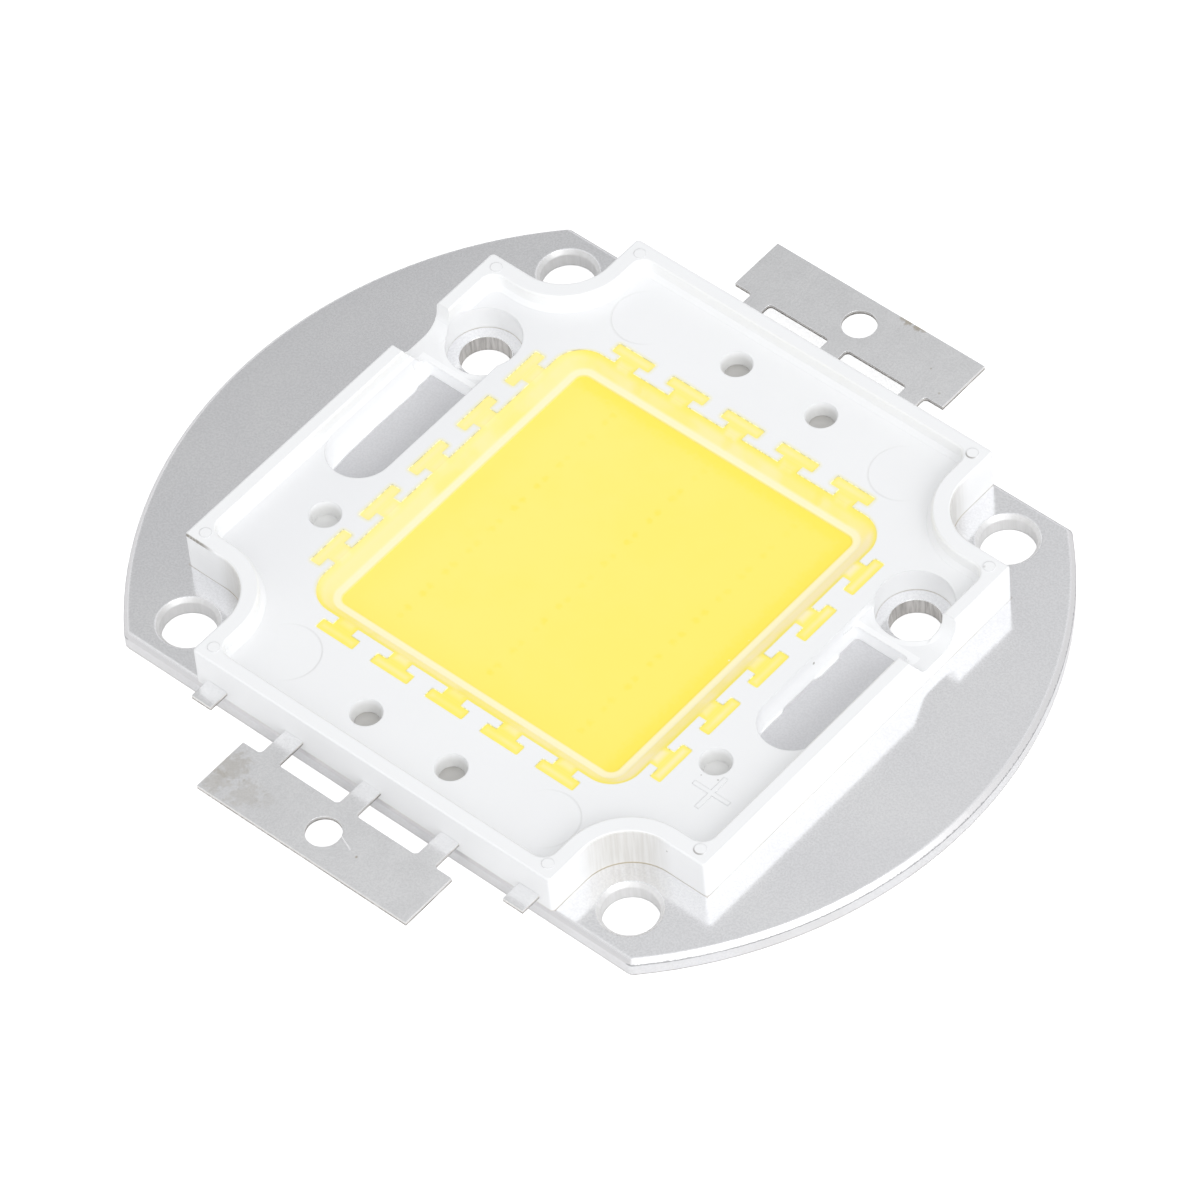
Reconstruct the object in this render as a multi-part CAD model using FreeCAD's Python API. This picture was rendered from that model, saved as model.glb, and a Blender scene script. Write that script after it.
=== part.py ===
import FreeCAD, Part
import math
import os

# High-power COB LED.  Millimetres, +Z is the way the light leaves.
# Origin: centre of the base plate's bottom face.  X runs along the plate's two flats,
# Y runs from the positive lead to the negative lead.

# cup for the light area, its lip and the keyed band round it
light_half_x = 10.6
light_half_y = 11.03
light_corner = 0.6
lip_width = 0.42
channel_width_x = 1.11          # from the lip to the edge of the band
channel_width_y = 0.93
band_corner = 2.0
lip_half_x = light_half_x + lip_width
lip_half_y = light_half_y + lip_width
lip_corner = light_corner + lip_width
band_half_x = lip_half_x + channel_width_x
band_half_y = lip_half_y + channel_width_y

# T-shaped key slots, the same number on each side
key_count = 5
key_end_margin = 3.675          # from the outermost key to the band's side edge
key_head_half_x = 1.435         # keys on the +Y and -Y sides
key_head_half_y = 1.475         # keys on the +X and -X sides
key_stem_half = 0.73
key_stem_length = 0.58
key_head_depth = 0.76
key_overlap = 0.4               # how far a stem's outline runs back into the band
key_reach = key_stem_length + key_head_depth
key_pitch_x = 2 * (band_half_x - key_end_margin) / (key_count - 1)
key_pitch_y = 2 * (band_half_y - key_end_margin) / (key_count - 1)

# moulded frame
frame_wall_x = 6.53             # from the ends of the keys to the frame's sides
frame_wall_y = 6.33
frame_height = 2.9
frame_corner_radius = 0.25
frame_edge_break = 0.12         # bevel on both sides of the rim top
notch_radius = 3.3              # round each corner hole, concentric with it
rim_width = 0.97                # along the four straight sides
notch_rim_width = 1.15          # round the notches
rim_inner_corner = 0.9
floor_rise = 1.75               # recessed floor inside the rim, above the plate
floor_bevel = 0.3               # where the floor meets the rim
frame_half_x = band_half_x + key_reach + frame_wall_x
frame_half_y = band_half_y + key_reach + frame_wall_y

# four corner holes, M3 clearance
corner_hole_inset_x = 2.95      # in from the frame's sides
corner_hole_inset_y = 2.9
corner_hole_radius = 1.7
corner_hole_lead_in = 0.27      # bevelled top edge
corner_hole_x = frame_half_x - corner_hole_inset_x
corner_hole_y = frame_half_y - corner_hole_inset_y

# two side holes, M3 close fit
side_hole_inset = 3.35          # in from the frame's side
side_hole_drop = 8.1            # from the corner holes, along Y
side_hole_radius = 1.6
side_hole_x = frame_half_x - side_hole_inset
side_hole_y = corner_hole_y - side_hole_drop

# base plate: plated metal disc with two parallel flats
plate_thickness = 1.2
plate_ledge = 0.05              # from the frame's side to each flat
plate_rim = 2.117               # metal left outside each corner hole
plate_corner_radius = 0.5       # plan rounding where flat and arc meet
plate_edge_break = 0.3          # bevelled top edge
plate_flat = frame_half_y + plate_ledge
plate_radius = math.hypot(corner_hole_x, corner_hole_y) + corner_hole_radius + plate_rim

# heights
lead_rise = 0.8                 # lead frame's top face, the floor of the band, above the plate
lead_thickness = 0.3
lip_rise = 0.05                 # lip above the lead frame
key_floor_rise = 0.25           # bottom of the key slots above the lead frame
plate_top = plate_thickness
frame_top = plate_top + frame_height
floor_z = plate_top + floor_rise
lead_top = plate_top + lead_rise
lead_bottom = lead_top - lead_thickness
lip_top = lead_top + lip_rise
key_floor_z = lead_top + key_floor_rise

# silicone fill
fill_gap = 0.03                 # tops of the keys below the frame's floor
fill_lip_cover = 0.17           # silicone over the lip
fill_light_dip = 0.07           # light area below the silicone on the lip
fill_shoulder = 0.03            # flat strip between the band's slope and its outer edge
fill_band_z = floor_z - fill_gap
fill_lip_z = lip_top + fill_lip_cover
fill_light_z = fill_lip_z - fill_light_dip

# windows and screw recesses, mirrored left and right
window_web = 1.08               # from the ends of the keys to the window
window_outer_inset = 1.2        # in from the frame's side
window_inner_draft = 0.15       # how far each wall leans in on its way down to the plate
window_outer_draft = 0.35
window_length = 10.2
window_to_hole = 3.05           # from the window's straight end to the side hole
window_square_corner = 0.3
window_round_slack = 0.001      # keeps the two quarter arcs of the round end apart
window_top = (band_half_x + key_reach + window_web, frame_half_x - window_outer_inset)
window_foot = (window_top[0] + window_inner_draft, window_top[1] - window_outer_draft)
window_square_y = side_hole_y - window_to_hole
window_round_y = window_square_y - window_length
window_foot_round_y = window_round_y + window_inner_draft
screw_wall_radius = 2.38        # frame wall round the side hole, concentric with it

# low saddle between window, screw hole and outside; distances from the side hole, along Y
saddle_rise = 1.08
saddle_near = 4.45              # the saddle's two ends at rim top
saddle_far = 0.3
saddle_near_foot = 3.35
saddle_far_foot = 0.6
saddle_near_fillet = 0.6
saddle_far_fillet = 1.3
saddle_z = plate_top + saddle_rise

# support-pin holes, tapered, down to the lead frame's level
pin_hole_top_radius = 1.0
pin_hole_foot_radius = 0.78
pin_pair_x = 3.27
pin_pair_inset = 3.35           # in from the frame's +Y and -Y sides
pin_side_inset = 4.95           # in from the frame's +X and -X sides
pin_to_window = 2.85
pin_pair_y = frame_half_y - pin_pair_inset
pin_side_x = frame_half_x - pin_side_inset
pin_side_y = window_round_y - pin_to_window
pin_hole_places = ((pin_pair_x, pin_pair_y), (-pin_pair_x, pin_pair_y), (pin_pair_x, -pin_pair_y),
                   (-pin_pair_x, -pin_pair_y), (pin_side_x, pin_side_y), (-pin_side_x, pin_side_y))

# cut tie bars of the lead frame, between the legs and the notches
tie_wall = 1.75                 # from a notch to the middle of the tie bar
tie_half_width = 0.74
tie_stub_positive = 1.43        # what is left outside the frame on the -Y side
tie_stub_negative = 0.95        # and on the +Y side
tie_depth = 2.55                # inside the frame
tie_head_half_width = 1.25
tie_head_depth = 0.9
tie_x = corner_hole_x - notch_radius - tie_wall
tie_inner_y = frame_half_y - tie_depth

# leads
tab_gap = 2.15                  # from the frame's side to the tab
tab_depth = 4.0
tab_overhang = 1.355            # tab outside its outer legs
tab_hole_radius = 1.1
leg_half_width = 0.675
leg_fillet = 0.3
leg_pitch = tie_x / 2
tab_half_width = leg_pitch + leg_half_width + tab_overhang
tab_near_y = frame_half_y + tab_gap
tab_far_y = tab_near_y + tab_depth
tab_hole_y = (tab_near_y + tab_far_y) / 2

# plate of each lead inside the frame; plastic runs through its slots and holds it
anchor_overhang = 0.67          # wider than the tab on each side
anchor_cover = 1.75             # plastic outside the anchor plate
anchor_slot_half_x = 0.95
anchor_slot_half_y = 0.6
anchor_slot_inset = 2.7
anchor_slot_pitch = 6.35
anchor_half_width = tab_half_width + anchor_overhang
anchor_far_y = frame_half_y - anchor_cover
anchor_slot_y = anchor_far_y - anchor_slot_inset

# dies and bond wires: three strings of ten, each string in series
string_margin = 3.6             # from an outer string to the light area's edge
dies_in_string = 10
die_row_margin = 1.76           # from the last die's centre to the light area's edge
die_size = 1.1
die_thickness = 0.15
pad_offset = 0.36               # bond pad from the die's centre
wire_size = 0.04
wire_foot = 0.06                # half length of a bond's flat foot
wire_rise = 0.3                 # loop height over a die
wire_run = 0.6                  # how far an end wire slopes down from its last die
wire_drop_run = 0.3             # how far it slopes down to the lead
wire_lip_gap = 0.03             # between the lip and the wires that cross it
string_pitch = light_half_x - string_margin
die_pitch = 2 * (light_half_y - die_row_margin) / (dies_in_string - 1)
die_top = plate_top + die_thickness
end_wire_z = lip_top + wire_lip_gap
end_bond_y = (lip_half_y + band_half_y) / 2

slack = 1.0                     # how far cutting shapes run past the surface they cut


def rounded_wire(corners, z=0.0):
    """Closed outline through (x, y, corner radius) points, with true arcs."""
    edges = []
    starts = []
    ends = []
    count = len(corners)
    for i in range(count):
        x, y, radius = corners[i]
        before = corners[i - 1]
        after = corners[(i + 1) % count]
        here = FreeCAD.Vector(x, y, z)
        to_before = FreeCAD.Vector(before[0] - x, before[1] - y, 0).normalize()
        to_after = FreeCAD.Vector(after[0] - x, after[1] - y, 0).normalize()
        if radius <= 0:
            starts.append(here)
            ends.append(here)
            continue
        half_angle = to_before.getAngle(to_after) / 2
        setback = radius / math.tan(half_angle)
        bisector = (to_before + to_after).normalize()
        centre = here + bisector * (radius / math.sin(half_angle))
        start = here + to_before * setback
        end = here + to_after * setback
        edges.append(Part.Arc(start, centre - bisector * radius, end).toShape())
        starts.append(start)
        ends.append(end)
    for i in range(count):
        a = ends[i]
        b = starts[(i + 1) % count]
        if a.distanceToPoint(b) > 1e-6:
            edges.append(Part.makeLine(a, b))
    return Part.Wire(Part.__sortEdges__(edges))


def prism(corners, z0, z1):
    return Part.Face(rounded_wire(corners, z0)).extrude(FreeCAD.Vector(0, 0, z1 - z0))


def taper(low_corners, z0, high_corners, z1):
    return Part.makeLoft([rounded_wire(low_corners, z0), rounded_wire(high_corners, z1)], True, True)


def rectangle(half_x, half_y, radius):
    return [(half_x, -half_y, radius), (half_x, half_y, radius),
            (-half_x, half_y, radius), (-half_x, -half_y, radius)]


def disc(x, y, radius, z0, z1):
    return Part.makeCylinder(radius, z1 - z0, FreeCAD.Vector(x, y, z0))


def mirrored(shape, normal):
    return shape.mirror(FreeCAD.Vector(0, 0, 0), normal)


def both_sides(shape):
    return [shape, mirrored(shape, FreeCAD.Vector(1, 0, 0))]


def all_corners(x, y):
    return [(x, y), (-x, y), (-x, -y), (x, -y)]


def level_edges(shape, z):
    """Edges that lie wholly at height z."""
    found = []
    for edge in shape.Edges:
        box = edge.BoundBox
        if abs(box.ZMin - z) < 1e-4 and abs(box.ZMax - z) < 1e-4:
            found.append(edge)
    return found


def make_base_plate():
    corner_x = math.sqrt(plate_radius ** 2 - plate_flat ** 2)
    blank = disc(0, 0, plate_radius, 0, plate_thickness)
    blank = blank.common(prism(rectangle(plate_radius + slack, plate_flat, 0), 0, plate_thickness))
    upright = [e for e in blank.Edges
               if e.BoundBox.ZLength > plate_thickness / 2 and abs(abs(e.BoundBox.Center.x) - corner_x) < 0.1]
    blank = blank.makeFillet(plate_corner_radius, upright)
    blank = blank.makeChamfer(plate_edge_break, level_edges(blank, plate_top))
    for x, y in all_corners(corner_hole_x, corner_hole_y):
        blank = blank.cut(disc(x, y, corner_hole_radius, -slack, plate_top + slack))
    hole_rims = [e for e in level_edges(blank, plate_top)
                 if e.Curve.TypeId == "Part::GeomCircle" and abs(e.Curve.Radius - corner_hole_radius) < 1e-6]
    blank = blank.makeChamfer(corner_hole_lead_in, hole_rims)
    for x in (side_hole_x, -side_hole_x):
        blank = blank.cut(disc(x, side_hole_y, side_hole_radius, -slack, plate_top + slack))
    return blank


def notched_outline(half_x, half_y, notch_width, convex, concave):
    """Square outline with a quarter-round notch in each corner, concentric with the corner holes."""
    notch_x = corner_hole_x - notch_width
    notch_y = corner_hole_y - notch_width
    quarter = [(half_x, notch_y, convex), (notch_x, notch_y, concave), (notch_x, half_y, convex)]
    corners = list(quarter)
    corners += [(-x, y, r) for x, y, r in reversed(quarter)]
    corners += [(-x, -y, r) for x, y, r in quarter]
    corners += [(x, -y, r) for x, y, r in reversed(quarter)]
    return corners


def key_outline(along, edge, head_half):
    """One T-shaped key on the +Y side: 'along' is its centre, 'edge' the band's edge."""
    neck = edge + key_stem_length
    end = neck + key_head_depth
    foot = edge - key_overlap
    return [(along - key_stem_half, foot, 0), (along + key_stem_half, foot, 0),
            (along + key_stem_half, neck, 0), (along + head_half, neck, 0),
            (along + head_half, end, 0), (along - head_half, end, 0),
            (along - head_half, neck, 0), (along - key_stem_half, neck, 0)]


def make_keys(z1):
    keys = []
    for i in range(key_count):
        step = i - (key_count - 1) / 2
        on_y = prism(key_outline(step * key_pitch_x, band_half_y, key_head_half_x), key_floor_z, z1)
        on_x = prism(key_outline(step * key_pitch_y, band_half_x, key_head_half_y), key_floor_z, z1)
        on_x.rotate(FreeCAD.Vector(0, 0, 0), FreeCAD.Vector(0, 0, 1), -90)
        keys += [on_y, mirrored(on_y, FreeCAD.Vector(0, 1, 0))]
        keys += [on_x, mirrored(on_x, FreeCAD.Vector(1, 0, 0))]
    return keys


def make_cup(z1):
    """The space the silicone is poured into, up to height z1."""
    light = prism(rectangle(light_half_x, light_half_y, light_corner), plate_top, z1)
    above_lip = prism(rectangle(band_half_x, band_half_y, band_corner), lip_top, z1)
    channel = prism(rectangle(band_half_x, band_half_y, band_corner), lead_top, lip_top)
    channel = channel.cut(prism(rectangle(lip_half_x, lip_half_y, lip_corner), lead_top, lip_top))
    return light.multiFuse([above_lip, channel] + make_keys(z1)).removeSplitter()


def window_outline(x0, x1, round_y):
    radius = (x1 - x0) / 2 - window_round_slack
    return [(x0, round_y, radius), (x1, round_y, radius),
            (x1, window_square_y, window_square_corner), (x0, window_square_y, window_square_corner)]


def make_side_opening():
    """Window, screw recess and saddle on the +X side."""
    window = taper(window_outline(window_foot[0], window_foot[1], window_foot_round_y), plate_top,
                   window_outline(window_top[0], window_top[1], window_round_y), floor_z)
    window_above = prism(window_outline(window_top[0], window_top[1], window_round_y),
                         floor_z, frame_top + slack)
    screw = disc(side_hole_x, side_hole_y, screw_wall_radius, plate_top, frame_top + slack)
    bridge = prism([(window_top[0], window_square_y - slack, 0), (window_top[1], window_square_y - slack, 0),
                    (window_top[1], side_hole_y, 0), (window_top[0], side_hole_y, 0)],
                   saddle_z, frame_top + slack)
    lift = slack / (frame_top - saddle_z)
    near_top = side_hole_y - saddle_near - (saddle_near - saddle_near_foot) * lift
    far_top = side_hole_y - saddle_far + (saddle_far_foot - saddle_far) * lift
    profile = rounded_wire([(side_hole_y - saddle_near_foot, saddle_z, saddle_near_fillet),
                            (side_hole_y - saddle_far_foot, saddle_z, saddle_far_fillet),
                            (far_top, frame_top + slack, 0), (near_top, frame_top + slack, 0)])
    saddle = Part.Face(profile).extrude(FreeCAD.Vector(0, 0, frame_half_x + slack - side_hole_x))
    saddle.rotate(FreeCAD.Vector(0, 0, 0), FreeCAD.Vector(1, 1, 1), 120)
    saddle.translate(FreeCAD.Vector(side_hole_x, 0, 0))
    return window.multiFuse([window_above, screw, bridge, saddle])


def make_frame(leads, tie_bars):
    outline = notched_outline(frame_half_x, frame_half_y, notch_radius, frame_corner_radius, notch_radius)
    body = prism(outline, plate_top, frame_top)
    inner_notch = notch_radius + notch_rim_width
    inner = notched_outline(frame_half_x - rim_width, frame_half_y - rim_width, inner_notch,
                            rim_inner_corner, inner_notch)
    recess = prism(inner, floor_z, frame_top + slack)
    recess = recess.makeChamfer(floor_bevel, level_edges(recess, floor_z))
    body = body.cut(recess)
    body = body.makeChamfer(frame_edge_break, level_edges(body, frame_top))
    cutters = both_sides(make_side_opening())
    cutters.append(make_cup(frame_top + slack))
    for x, y in pin_hole_places:
        cutters.append(Part.makeCone(pin_hole_foot_radius, pin_hole_top_radius, floor_z - lead_top,
                                     FreeCAD.Vector(x, y, lead_top)))
    for cutter in cutters + leads + tie_bars:
        body = body.cut(cutter)
    return body.removeSplitter()


def make_lead():
    """Negative lead (+Y side): tab, three legs and the plate moulded into the frame."""
    outer_leg = leg_pitch + leg_half_width
    half = [(tab_half_width, tab_far_y, 0), (tab_half_width, tab_near_y, 0),
            (outer_leg, tab_near_y, leg_fillet), (outer_leg, anchor_far_y, 0),
            (anchor_half_width, anchor_far_y, 0), (anchor_half_width, lip_half_y, 0)]
    corners = half + [(-x, y, r) for x, y, r in reversed(half)]
    sheet = prism(corners, lead_bottom, lead_top)
    for side in (-1, 1):
        inner = side * leg_half_width
        outer = side * (leg_pitch - leg_half_width)
        sheet = sheet.cut(prism([(inner, anchor_far_y, 0), (outer, anchor_far_y, 0),
                                 (outer, tab_near_y, leg_fillet), (inner, tab_near_y, leg_fillet)],
                                lead_bottom, lead_top))
    sheet = sheet.cut(disc(0, tab_hole_y, tab_hole_radius, lead_bottom, lead_top))
    for x in (-anchor_slot_pitch, 0, anchor_slot_pitch):
        slot = prism(rectangle(anchor_slot_half_x, anchor_slot_half_y, 0), lead_bottom, lead_top)
        slot.translate(FreeCAD.Vector(x, anchor_slot_y, 0))
        sheet = sheet.cut(slot)
    return sheet


def make_tie_bar(stub):
    """Cut tie bar at x = tie_x on the +Y side, with its T-shaped head inside the frame."""
    head_end = tie_inner_y + tie_head_depth
    half = [(tie_half_width, frame_half_y + stub, 0), (tie_half_width, head_end, 0),
            (tie_head_half_width, head_end, 0), (tie_head_half_width, tie_inner_y, 0)]
    corners = half + [(-x, y, r) for x, y, r in reversed(half)]
    bar = prism(corners, lead_bottom, lead_top)
    bar.translate(FreeCAD.Vector(tie_x, 0, 0))
    return bar


def die_places():
    places = []
    for column in (-1, 0, 1):
        for i in range(dies_in_string):
            places.append((column * string_pitch, (i - (dies_in_string - 1) / 2) * die_pitch))
    return places


def make_dies():
    half = die_size / 2
    return [Part.makeBox(die_size, die_size, die_thickness, FreeCAD.Vector(x - half, y - half, plate_top))
            for x, y in die_places()]


def make_wire(x, path):
    """Thin strip along (y, z) points; its feet rest flat on what they are bonded to."""
    upper = [(y, z + wire_size) for y, z in reversed(path)]
    points = [FreeCAD.Vector(x - wire_size / 2, y, z) for y, z in path + upper]
    points.append(points[0])
    return Part.Face(Part.makePolygon(points)).extrude(FreeCAD.Vector(wire_size, 0, 0))


def foot(y, z):
    return [(y - wire_foot, z), (y + wire_foot, z)]


def make_bond_wires():
    wires = []
    crest = die_top + wire_rise
    last_y = (dies_in_string - 1) / 2 * die_pitch
    for column in (-1, 0, 1):
        x = column * string_pitch
        for i in range(dies_in_string - 1):
            y0 = i * die_pitch - last_y + pad_offset
            y1 = y0 + die_pitch - 2 * pad_offset
            path = foot(y0, die_top) + [((y0 + y1) / 2, crest)]
            wires.append(make_wire(x, path + foot(y1, die_top)))
        y0 = last_y + pad_offset
        path = foot(y0, die_top) + [(y0 + wire_run, end_wire_z), (end_bond_y - wire_drop_run, end_wire_z)]
        end_wire = make_wire(x, path + foot(end_bond_y, lead_top))
        wires += [end_wire, mirrored(end_wire, FreeCAD.Vector(0, 1, 0))]
    return wires


def make_silicone(dies, wires):
    fill = make_cup(fill_band_z)
    slope = taper(rectangle(lip_half_x, lip_half_y, lip_corner), fill_lip_z,
                  rectangle(band_half_x - fill_shoulder, band_half_y - fill_shoulder, band_corner), fill_band_z)
    dish = prism(rectangle(light_half_x, light_half_y, light_corner), fill_light_z, fill_lip_z)
    fill = fill.cut(slope).cut(dish)
    return fill.cut(Part.makeCompound(dies)).cut(Part.makeCompound(wires))


lead_negative = make_lead()
lead_positive = mirrored(lead_negative, FreeCAD.Vector(0, 1, 0))
tie_bars = both_sides(make_tie_bar(tie_stub_negative))
for bar in both_sides(make_tie_bar(tie_stub_positive)):
    tie_bars.append(mirrored(bar, FreeCAD.Vector(0, 1, 0)))
dies = make_dies()
bond_wires = make_bond_wires()

nodes = {
    "base_plate": make_base_plate(),
    "frame": make_frame([lead_negative, lead_positive], tie_bars),
    "lead_positive": lead_positive,
    "lead_negative": lead_negative,
    "tie_bars": Part.makeCompound(tie_bars),
    "dies": Part.makeCompound(dies),
    "bond_wires": Part.makeCompound(bond_wires),
    "silicone": make_silicone(dies, bond_wires),
}

os.makedirs("parts", exist_ok=True)
for name, shape in nodes.items():
    shape.exportStep("parts/" + name + ".step")
    box = shape.BoundBox
    print(name, "valid", shape.isValid(), "solids", len(shape.Solids), "faces", len(shape.Faces),
          "volume", round(shape.Volume, 3), "z", round(box.ZMin, 3), round(box.ZMax, 3))
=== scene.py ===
import bpy
import bmesh
from mathutils import Matrix, Vector


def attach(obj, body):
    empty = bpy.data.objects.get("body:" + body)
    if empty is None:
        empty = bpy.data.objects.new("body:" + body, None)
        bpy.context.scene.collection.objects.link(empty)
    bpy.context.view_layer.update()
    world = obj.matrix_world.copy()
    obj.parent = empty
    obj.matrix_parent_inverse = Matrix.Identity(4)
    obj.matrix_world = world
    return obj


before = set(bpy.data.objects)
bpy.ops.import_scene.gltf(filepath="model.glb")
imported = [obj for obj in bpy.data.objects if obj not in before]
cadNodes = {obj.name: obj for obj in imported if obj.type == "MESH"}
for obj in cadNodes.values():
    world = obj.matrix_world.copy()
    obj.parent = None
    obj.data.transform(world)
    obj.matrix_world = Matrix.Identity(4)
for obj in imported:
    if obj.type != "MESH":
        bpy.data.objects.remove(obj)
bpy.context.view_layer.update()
mm = 0.001  # places below are written in millimetres and scaled once, when a mesh is made


# small helpers for node trees

def plug(tree, socket, value):
    if isinstance(value, bpy.types.NodeSocket):
        tree.links.new(value, socket)
    else:
        socket.default_value = value


def addNode(tree, kind, inputs=None, **settings):
    node = tree.nodes.new(kind)
    for name, value in settings.items():
        setattr(node, name, value)
    for key, value in (inputs or {}).items():
        plug(tree, node.inputs[key], value)
    return node


def calc(tree, operation, first, second=0.0, third=0.0):
    node = addNode(tree, "ShaderNodeMath", {0: first, 1: second, 2: third}, operation=operation)
    return node.outputs[0]


def smooth(tree, value, start, end, low=0.0, high=1.0):  # start may lie above end
    node = addNode(tree, "ShaderNodeMapRange", {0: value, 1: start, 2: end, 3: low, 4: high},
                   interpolation_type="SMOOTHSTEP")
    return node.outputs[0]


def mixColour(tree, factor, first, second):
    node = addNode(tree, "ShaderNodeMix", {0: factor, 6: first, 7: second}, data_type="RGBA")
    return node.outputs[2]


def colour(red, green, blue):
    return (red, green, blue, 1.0)


white = colour(1.0, 1.0, 1.0)


def splitPlace(tree, place):
    parts = addNode(tree, "ShaderNodeSeparateXYZ", {0: place})
    return parts.outputs[0], parts.outputs[1], parts.outputs[2]


def placeInMm(tree):  # Object coordinates in millimetres
    coords = addNode(tree, "ShaderNodeTexCoord")
    scaled = addNode(tree, "ShaderNodeVectorMath", {0: coords.outputs["Object"], 3: 1 / mm}, operation="SCALE")
    return scaled.outputs[0]


def planDistance(tree, dx, dy):  # length of a flat vector
    return calc(tree, "SQRT", calc(tree, "ADD", calc(tree, "MULTIPLY", dx, dx), calc(tree, "MULTIPLY", dy, dy)))


def planDistanceTo(tree, px, py, x, y):  # flat distance from a place to a fixed point
    return planDistance(tree, calc(tree, "SUBTRACT", px, x), calc(tree, "SUBTRACT", py, y))


def apart(tree, value, level):  # how far a value lies from a level, either way
    return calc(tree, "ABSOLUTE", calc(tree, "SUBTRACT", value, level))


def steepnessOf(tree):  # 0 on a level face, 1 on an upright one
    facing = addNode(tree, "ShaderNodeNewGeometry").outputs["True Normal"]
    return calc(tree, "SUBTRACT", 1.0, calc(tree, "ABSOLUTE", splitPlace(tree, facing)[2]))


def planPlace(tree, x, y):
    return addNode(tree, "ShaderNodeCombineXYZ", {0: x, 1: y, 2: 0.0}).outputs[0]


def startGroup(name, inputs, outputs):
    group = bpy.data.node_groups.new(name, "ShaderNodeTree")
    for label, kind, value in inputs:
        socket = group.interface.new_socket(label, in_out="INPUT", socket_type=kind)
        if value is not None:
            socket.default_value = value
    for label, kind in outputs:
        group.interface.new_socket(label, in_out="OUTPUT", socket_type=kind)
    return group, group.nodes.new("NodeGroupInput"), group.nodes.new("NodeGroupOutput")


def placeGroup(tree, group, inputs):
    node = tree.nodes.new("ShaderNodeGroup")
    node.node_tree = group
    for key, value in inputs.items():
        plug(tree, node.inputs[key], value)
    return node.outputs


# effects that more than one material uses

def makeGrain():  # fine even grain and soft patches
    group, inn, out = startGroup("fineGrain", [("Place", "NodeSocketVector", None),
                                               ("Grain Size", "NodeSocketFloat", 0.2),
                                               ("Patch Size", "NodeSocketFloat", 6.0)],
                                 [("Height", "NodeSocketFloat"), ("Patch", "NodeSocketFloat")])
    fine = addNode(group, "ShaderNodeTexNoise", {"Vector": inn.outputs["Place"], "Detail": 2.0, "Roughness": 0.6,
                                                 "Scale": calc(group, "DIVIDE", 1.0, inn.outputs["Grain Size"])})
    broad = addNode(group, "ShaderNodeTexNoise", {"Vector": inn.outputs["Place"], "Detail": 3.0, "Roughness": 0.55,
                                                  "Scale": calc(group, "DIVIDE", 1.0, inn.outputs["Patch Size"])})
    plug(group, out.inputs["Height"], fine.outputs["Fac"])
    plug(group, out.inputs["Patch"], broad.outputs["Fac"])
    return group


def makeSpecks():  # sparse round specks: dust, pits, filler grains
    group, inn, out = startGroup("specks", [("Place", "NodeSocketVector", None), ("Spacing", "NodeSocketFloat", 1.0),
                                            ("Radius", "NodeSocketFloat", 0.1), ("Share", "NodeSocketFloat", 0.2)],
                                 [("Mask", "NodeSocketFloat")])
    cells = addNode(group, "ShaderNodeTexVoronoi", {"Vector": inn.outputs["Place"], "Randomness": 1.0,
                                                    "Scale": calc(group, "DIVIDE", 1.0, inn.outputs["Spacing"])})
    near = calc(group, "MULTIPLY", cells.outputs["Distance"], inn.outputs["Spacing"])
    edge = smooth(group, calc(group, "DIVIDE", near, inn.outputs["Radius"]), 1.0, 0.6)
    picked = addNode(group, "ShaderNodeSeparateColor", {0: cells.outputs["Color"]})
    chosen = calc(group, "LESS_THAN", picked.outputs[0], inn.outputs["Share"])
    plug(group, out.inputs["Mask"], calc(group, "MULTIPLY", edge, chosen))
    return group


def makeStain():  # ragged patch round one point
    group, inn, out = startGroup("stain", [("Place", "NodeSocketVector", None), ("Centre", "NodeSocketVector", None),
                                           ("Radius", "NodeSocketFloat", 1.0), ("Raggedness", "NodeSocketFloat", 0.6)],
                                 [("Mask", "NodeSocketFloat")])
    away = addNode(group, "ShaderNodeVectorMath", {0: inn.outputs["Place"], 1: inn.outputs["Centre"]},
                   operation="DISTANCE").outputs["Value"]
    noise = addNode(group, "ShaderNodeTexNoise", {"Vector": inn.outputs["Place"], "Scale": 2.2, "Detail": 5.0,
                                                  "Roughness": 0.65})
    shifted = calc(group, "SUBTRACT", noise.outputs["Fac"], 0.5)
    push = calc(group, "MULTIPLY", calc(group, "MULTIPLY", shifted, inn.outputs["Raggedness"]), 4.0)
    reach = calc(group, "ADD", calc(group, "DIVIDE", away, inn.outputs["Radius"]), push)
    plug(group, out.inputs["Mask"], smooth(group, reach, 1.0, 0.35))
    return group


def makeRoundedBox():  # plan distance to a rectangle with round corners, negative inside
    group, inn, out = startGroup("roundedBox", [("Place", "NodeSocketVector", None), ("Half X", "NodeSocketFloat", 1.0),
                                                ("Half Y", "NodeSocketFloat", 1.0), ("Corner", "NodeSocketFloat", 0.1)],
                                 [("Distance", "NodeSocketFloat")])
    px, py = splitPlace(group, inn.outputs["Place"])[:2]
    corner = inn.outputs["Corner"]
    dx = calc(group, "ADD", calc(group, "SUBTRACT", calc(group, "ABSOLUTE", px), inn.outputs["Half X"]), corner)
    dy = calc(group, "ADD", calc(group, "SUBTRACT", calc(group, "ABSOLUTE", py), inn.outputs["Half Y"]), corner)
    outside = planDistance(group, calc(group, "MAXIMUM", dx, 0.0), calc(group, "MAXIMUM", dy, 0.0))
    inside = calc(group, "MINIMUM", calc(group, "MAXIMUM", dx, dy), 0.0)
    plug(group, out.inputs["Distance"], calc(group, "SUBTRACT", calc(group, "ADD", outside, inside), corner))
    return group


roundedBoxGroup = makeRoundedBox()


def boxDistance(tree, place, halfX, halfY, corner):
    return placeGroup(tree, roundedBoxGroup, {"Place": place, "Half X": halfX, "Half Y": halfY,
                                              "Corner": corner})["Distance"]


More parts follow.
